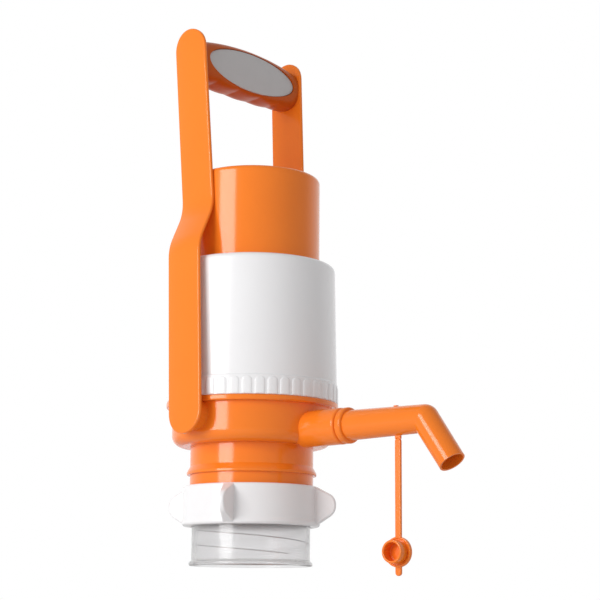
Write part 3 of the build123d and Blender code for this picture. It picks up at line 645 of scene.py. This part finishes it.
def nut_lug():
    """One turning lug, thick at its root and thin at its tip."""
    form = bmesh.new()
    outline = rounded(LUG, step=10.0)
    faces = []
    for side in (-0.5, 0.5):
        corners = []
        for radius, height in outline:
            share = (radius - LUG_ROOT_R) / (LUG_TIP_R - LUG_ROOT_R)
            thick = LUG_ROOT_T + (LUG_TIP_T - LUG_ROOT_T) * share
            corners.append(form.verts.new((radius * MM, side * thick * MM, height * MM)))
        faces.append(corners)
    bridge(form, faces, closed=False)
    for corners in faces:
        form.faces.new(corners)
    return form


nut = new_piece("clamp_ring", turned(rounded(NUT)))
dress(nut, WHITE, "nut", "clamp_nut")
lugs = new_piece("clamp_lugs", nut_lug())
lug_values = {"Count": LUG_COUNT, "First Angle": math.radians(LUG_TURN), "Finish": WHITE}
run_tree(lugs, RING_TREE, lug_values)
dress(lugs, WHITE, "nut", edge=LUG_EDGE)
nut_thread = wound_beads(
    "clamp_thread",
    WHITE,
    radius=32.0,
    rise=8.0,
    bead=0.9,
    height=26.6,
    first_angle=0.0,
    right_hand=True,
)
dress(nut_thread, WHITE, "nut")


# ---------------------------------------------------------------- clear cuff
CUFF = [
    (27.9, 0.0, 0.5),
    (30.7, 0.0, 0.6),
    (30.7, 1.5, 0.6),
    (29.5, 2.5, 0.8),
    (29.5, 22.6, 0.0),
    (31.9, 22.6, 0.3),
    (31.9, 24.8, 0.3),
    (27.9, 24.8, 0.3),
]

cuff = new_piece("milky_cuff", turned(rounded(CUFF)))
dress(cuff, CLEAR, "neck_clamp", "clear_cuff")
cuff_lines = wound_beads(
    "cuff_lines",
    CLEAR,
    radius=28.2,
    rise=14.3,
    bead=0.26,
    height=5.5,
    first_angle=172.8,
    right_hand=False,
)
dress(cuff_lines, CLEAR, "neck_clamp")


# ---------------------------------------------------------------- press cap
CAP = [
    (0.0, 195.2, 0.0),
    (17.0, 195.2, 0.0),
    (17.0, 190.8, 0.3),
    (20.0, 190.8, 0.3),
    (20.0, 195.2, 0.0),
    (31.5, 195.2, 1.0),
    (31.5, 143.0, 0.3),
    (38.9, 143.0, 0.4),
    (38.9, 146.0, 0.4),
    (33.5, 146.0, 0.6),
    (33.5, 197.4, 2.2),
    (0.0, 197.4, 0.0),
]

cap = new_piece("palm_cap", turned(rounded(CAP)))
dress(cap, ORANGE, "press", "press_cap")


# ---------------------------------------------------------------- bellows
BELLOWS_Z0 = 82.4
FOLD_Z0 = 84.0
HEAD_Z0 = 189.0
HEAD_Z1 = 190.8
HEAD_HOLE_R = 2.1
FLANGE_R = 37.6
FOLD_R = 30.6
FOLD_ROOT_R = 24.5
FOLD_WALL = 1.5
FOLD_COUNT = 10
FOLD_ROUND = 0.45


def fold_line(shift):
    """The folds' zigzag from the foot to the head, moved inwards."""
    pitch = (HEAD_Z0 - FOLD_Z0) / FOLD_COUNT
    line = [(FOLD_ROOT_R - shift, FOLD_Z0, 0.0)]
    for fold in range(FOLD_COUNT):
        line.append((FOLD_R - shift, FOLD_Z0 + (fold + 0.5) * pitch, FOLD_ROUND))
        line.append((FOLD_ROOT_R - shift, FOLD_Z0 + (fold + 1) * pitch, FOLD_ROUND))
    line[-1] = (FOLD_ROOT_R - shift, HEAD_Z0, 0.0)
    return line


BELLOWS = [
    (FOLD_ROOT_R - FOLD_WALL, BELLOWS_Z0, 0.0),
    (FLANGE_R, BELLOWS_Z0, 0.0),
    (FLANGE_R, FOLD_Z0, 0.3),
    *fold_line(0.0),
    (FOLD_ROOT_R, HEAD_Z1, 0.3),
    (HEAD_HOLE_R, HEAD_Z1, 0.0),
    (HEAD_HOLE_R, HEAD_Z0, 0.0),
    *reversed(fold_line(FOLD_WALL)),
]

bellows = new_piece("folding_bellows", turned(rounded(BELLOWS, step=40.0), segments=96))
dress(bellows, NATURAL, "pump", "bellows")
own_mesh(bellows)


# ---------------------------------------------------------------- carrying handle
# Names that end in _S are places along the handle from its hinge. It leans away from the spout.
LEAN = math.radians(3.6)
PIVOT_Z = 72.0
FOOT_S = 0.8
TOP_S = 190.5
FOOT_R = 10.95
TOP_R = 10.7
ARM_ROUND = 0.75
ARM_CROWN = 0.9
ARM_INSIDE = 2.65
ARM_COLUMNS = 14
ARM_ROWS = [*range(5, 78, 6), *range(78, 114), *range(118, 190, 6)]  # close along the crank
END_STEP = 6
EDGE_TURNS = (0, 22.5, 45, 67.5, 90)
STUD = [(0.0, 41.3), (3.6, 41.3), (4.0, 41.7), (4.0, 47.2), (0.0, 47.2)]
# An arm's outer face: distance from the pump's axis, place along the arm, radius of the bend.
# The last corner only closes the outline.
CRANK = [
    (49.58, -21.0, 0.0),
    (46.65, 85.1, 23.2),
    (35.85, 105.3, 24.5),
    (38.76, 210.0, 0.0),
    (0.0, 100.0, 0.0),
]
CRANK_LINE = rounded(CRANK, step=2.0)[:-1]


def handle_point(across, y, along):
    """A point of the handle's own frame, in millimetres, as a place in metres."""
    x = across * math.cos(LEAN) - along * math.sin(LEAN)
    z = PIVOT_Z + across * math.sin(LEAN) + along * math.cos(LEAN)
    return Vector((x * MM, y * MM, z * MM))


def crank(along):
    """Distance of an arm's outer face from the pump's axis."""
    for (y0, s0), (y1, s1) in zip(CRANK_LINE, CRANK_LINE[1:]):
        if s0 <= along <= s1:
            return y0 + (y1 - y0) * (along - s0) / (s1 - s0)
    return CRANK_LINE[-1][0]


def arm_rows(inset):
    """Half widths and places along an arm's face, inset from its rim, from foot to top."""
    foot, top = FOOT_R - inset, TOP_R - inset
    turns = [math.radians(turn) for turn in range(0, 91, END_STEP)]
    rows = [(foot * math.sin(turn), FOOT_S - foot * math.cos(turn)) for turn in turns]
    rows += [(foot + (top - foot) * (s - FOOT_S) / (TOP_S - FOOT_S), s) for s in ARM_ROWS]
    rows += [(top * math.sin(turn), TOP_S + top * math.cos(turn)) for turn in reversed(turns)]
    return rows


def arm_face(form, side, depth, crown):
    """One broad face of an arm, as rows of quads."""
    rings = []
    for width, along in arm_rows(ARM_ROUND):
        ring = []
        for column in range(ARM_COLUMNS + 1):
            across = width * (2 * column / ARM_COLUMNS - 1)
            fall = crown * (across / FOOT_R) ** 2
            y = side * (crank(along) - depth - fall)
            ring.append(form.verts.new(handle_point(across, y, along)))
        rings.append(ring)
    for ring, following in zip(rings, rings[1:]):
        for column in range(ARM_COLUMNS):
            corners = ring[column], ring[column + 1], following[column + 1], following[column]
            form.faces.new(corners)


def arm_rim(form, side):
    """An arm's rounded rim, from the edge of its outer face to the edge of its inner one."""
    rings = []
    for outer in (True, False):
        for turn in EDGE_TURNS if outer else reversed(EDGE_TURNS):
            inset = ARM_ROUND * (1 - math.sin(math.radians(turn)))
            sunk = ARM_ROUND * (1 - math.cos(math.radians(turn)))
            rows = arm_rows(inset)
            ring = []
            for across, along in rows + [(-width, s) for width, s in rows[-2:0:-1]]:
                fall = sunk + ARM_CROWN * (across / FOOT_R) ** 2 if outer else ARM_INSIDE - sunk
                y = side * (crank(along) - fall)
                ring.append(form.verts.new(handle_point(across, y, along)))
            rings.append(ring)
    bridge(form, rings, closed=False)


def handle_arm(name, side, node):
    """One flat, cranked arm with its hinge stud; side is -1 or 1."""
    form = bmesh.new()
    arm_face(form, side, 0.0, ARM_CROWN)
    arm_face(form, side, ARM_INSIDE, 0.0)
    arm_rim(form, side)
    bmesh.ops.remove_doubles(form, verts=form.verts, dist=WELD)
    hinge = Matrix.Translation((0, 0, PIVOT_Z * MM))
    stud_place = hinge @ Matrix.Rotation(math.radians(-90 * side), 4, "X")
    joined(form, turned(STUD, segments=48), stud_place)
    arm = new_piece(name, form)
    dress(arm, ORANGE, "handle", node, sharp=50.0)


handle_arm("carry_arm_left", -1, "handle_arm_left")
handle_arm("carry_arm_right", 1, "handle_arm_right")


# ---------------------------------------------------------------- grip and its plate
GRIP_S = 184.9
GRIP_HALF_D = 9.5
GRIP_HIGH = 12.9
GRIP_LOW = 12.2
GRIP_TOP_FALL = 3.3
GRIP_LOW_RISE = 1.5
GRIP_END_DEPTH = 2.3  # from an arm's outer face to the grip's end
LOBE_PITCH = 16.0
LOBE_DEPTH = 0.9
LOBE_POWER = 6
GRIP_ROWS = 120
GRIP_COLUMNS = 96
FRONT_POWER = 4.2
FRONT_POWER_FALL = 1.7
BACK_POWER = 2.4
PLATE_S = 184.7
PLATE_A = 32.2
PLATE_B = 10.35
PLATE_FRONT = 8.35
PLATE_DOME = 0.6
PLATE_ROUND = 0.35
PLATE_TURNS = (0, 30, 60, 90)
PLATE_SHARES = (0.9, 0.75, 0.6, 0.45, 0.3, 0.15)
RECESS_GAP = 0.18
RECESS_FRONT = 7.4
RECESS_OPEN = 14.0


def oval(form, inset, across, share=1.0, segments=120):
    """A ring of the plate's oval, inset and scaled, at this distance from the grip's middle."""
    ring = []
    for part in range(segments):
        angle = 2 * math.pi * part / segments
        y = share * (PLATE_A - inset) * math.cos(angle)
        along = PLATE_S + share * (PLATE_B - inset) * math.sin(angle)
        ring.append(form.verts.new(handle_point(across, y, along)))
    return ring


def grip_form():
    """The grip from arm to arm: flattened front, rounder back and lobes along its lower edge."""
    form = bmesh.new()
    rings = []
    for row in range(GRIP_ROWS + 1):
        share = 2 * row / GRIP_ROWS - 1
        y = share * (crank(GRIP_S) - GRIP_END_DEPTH)
        top = GRIP_HIGH - GRIP_TOP_FALL * share**2
        low = GRIP_LOW - GRIP_LOW_RISE * share**2
        lobe = (y / LOBE_PITCH + 0.5) % 1 * 2 - 1
        front_power = FRONT_POWER - FRONT_POWER_FALL * share**2
        ring = []
        for column in range(GRIP_COLUMNS):
            angle = 2 * math.pi * column / GRIP_COLUMNS
            power = 2 / (front_power if math.cos(angle) > 0 else BACK_POWER)
            across = math.copysign(GRIP_HALF_D * abs(math.cos(angle)) ** power, math.cos(angle))
            reach = abs(math.sin(angle)) ** power
            cut = LOBE_DEPTH * lobe**2 * reach**LOBE_POWER
            along = GRIP_S + (top * reach if math.sin(angle) > 0 else cut - low * reach)
            end_y = share * (crank(along) - GRIP_END_DEPTH) if abs(share) == 1 else y
            ring.append(form.verts.new(handle_point(across, end_y, along)))
        rings.append(ring)
    bridge(form, rings, closed=False)
    form.faces.new(rings[0])
    form.faces.new(rings[-1])
    return form


def recess_cutter():
    """A block from the recess's floor out past the grip's front, a hair wider than the plate."""
    form = bmesh.new()
    rings = [oval(form, -RECESS_GAP, across) for across in (RECESS_FRONT, RECESS_OPEN)]
    bridge(form, rings, closed=False)
    for ring in rings:
        form.faces.new(ring)
    return new_piece("recess", form)


def carve(piece, cutter):
    """Cuts one piece out of another and deletes the cutter."""
    cut = piece.modifiers.new("cut", "BOOLEAN")
    cut.operation = "DIFFERENCE"
    cut.object = cutter
    settle(piece)
    bpy.data.objects.remove(cutter)


def inlay_form():
    """The oval plate: flat back, rounded rim and a slightly domed front."""
    form = bmesh.new()
    rings = [oval(form, 0.0, RECESS_FRONT)]
    for turn in PLATE_TURNS:
        inset = PLATE_ROUND * (1 - math.cos(math.radians(turn)))
        sunk = PLATE_ROUND * (1 - math.sin(math.radians(turn)))
        rings.append(oval(form, inset, PLATE_FRONT - sunk))
    for share in PLATE_SHARES:
        dome = PLATE_DOME * (1 - share**2)
        rings.append(oval(form, PLATE_ROUND, PLATE_FRONT + dome, share))
    rings.append([form.verts.new(handle_point(PLATE_FRONT + PLATE_DOME, 0, PLATE_S))])
    bridge(form, rings, closed=False)
    form.faces.new(rings[0])
    return form


grip = new_piece("carry_grip", grip_form())
carve(grip, recess_cutter())
# The grip wears the orange painted darker as shade.
dress(grip, SHADED_GRIP_ORANGE, "handle", "handle_grip", sharp=45.0)
inlay = new_piece("grip_inlay", inlay_form())
dress(inlay, GREY, "handle", "grip_plate")


# ---------------------------------------------------------------- tethered plug
TETHER_X = 93.9
TETHER_TWIST = math.radians(6.0)
HINGE_Z = 56.05
STRAP_HALF_W = 1.55
STRAP_T = 1.5
STRAP_EDGE = 0.35
STRAP_STEPS = 12
PLUG_Z = 5.0
TAB_Z = -4.35
PLUG = [
    (0.0, -0.8, 0.0),
    (7.0, -0.8, 0.5),
    (7.0, 1.3, 0.35),
    (6.1, 1.3, 0.2),
    (6.1, 0.8, 0.2),
    (5.35, 0.8, 0.0),
    (5.35, 6.4, 0.45),
    (4.25, 6.4, 0.3),
    (4.25, 0.8, 0.4),
    (0.0, 0.8, 0.0),
]


def strap_form():
    """The strap from its round hinge end to its round tab below the plug."""
    form = bmesh.new()
    outline = []
    for end_z, first_angle in ((HINGE_Z, 0.0), (TAB_Z, math.pi)):
        for part in range(STRAP_STEPS + 1):
            angle = first_angle + math.pi * part / STRAP_STEPS
            x, z = STRAP_HALF_W * math.cos(angle), end_z + STRAP_HALF_W * math.sin(angle)
            outline.append((x * MM, z * MM))
    faces = [
        [form.verts.new((x, side * STRAP_T / 2 * MM, z)) for x, z in outline] for side in (-1, 1)
    ]
    bridge(form, faces, closed=False)
    for corners in faces:
        form.faces.new(corners)
    return form


tether_place = Matrix.Translation((TETHER_X * MM, 0, 0)) @ Matrix.Rotation(TETHER_TWIST, 4, "Z")
plug_lift = Matrix.Translation((0, 0, PLUG_Z * MM))
plug_place = tether_place @ plug_lift @ Matrix.Rotation(math.radians(90), 4, "X")
strap = strap_form()
strap.transform(tether_place)
strap_piece = new_piece("plug_strap", strap)
dress(strap_piece, ORANGE, "tether", "tether_cap", edge=STRAP_EDGE)
plug = turned(rounded(PLUG), segments=72)
plug.transform(plug_place)
plug_piece = new_piece("spout_plug", plug)
dress(plug_piece, ORANGE, "tether")


# ---------------------------------------------------------------- finishes of the kept nodes
NODE_FINISH = {
    "base_body": ORANGE,
    "spout_tube": ORANGE,
    "valve_deck": WHITE,
    "dip_socket": WHITE,
    "bellows_ring": WHITE,
    "neck_gasket": RUBBER,
    "deck_seal": RUBBER,
    "outlet_flap": RUBBER,
    "inlet_flap": RUBBER,
    "spout_seal": RUBBER,
    "dip_seal": RUBBER,
    "cap_bumper": RUBBER,
}
for node, finish in NODE_FINISH.items():
    NODES[node].data.materials.clear()
    NODES[node].data.materials.append(finish)
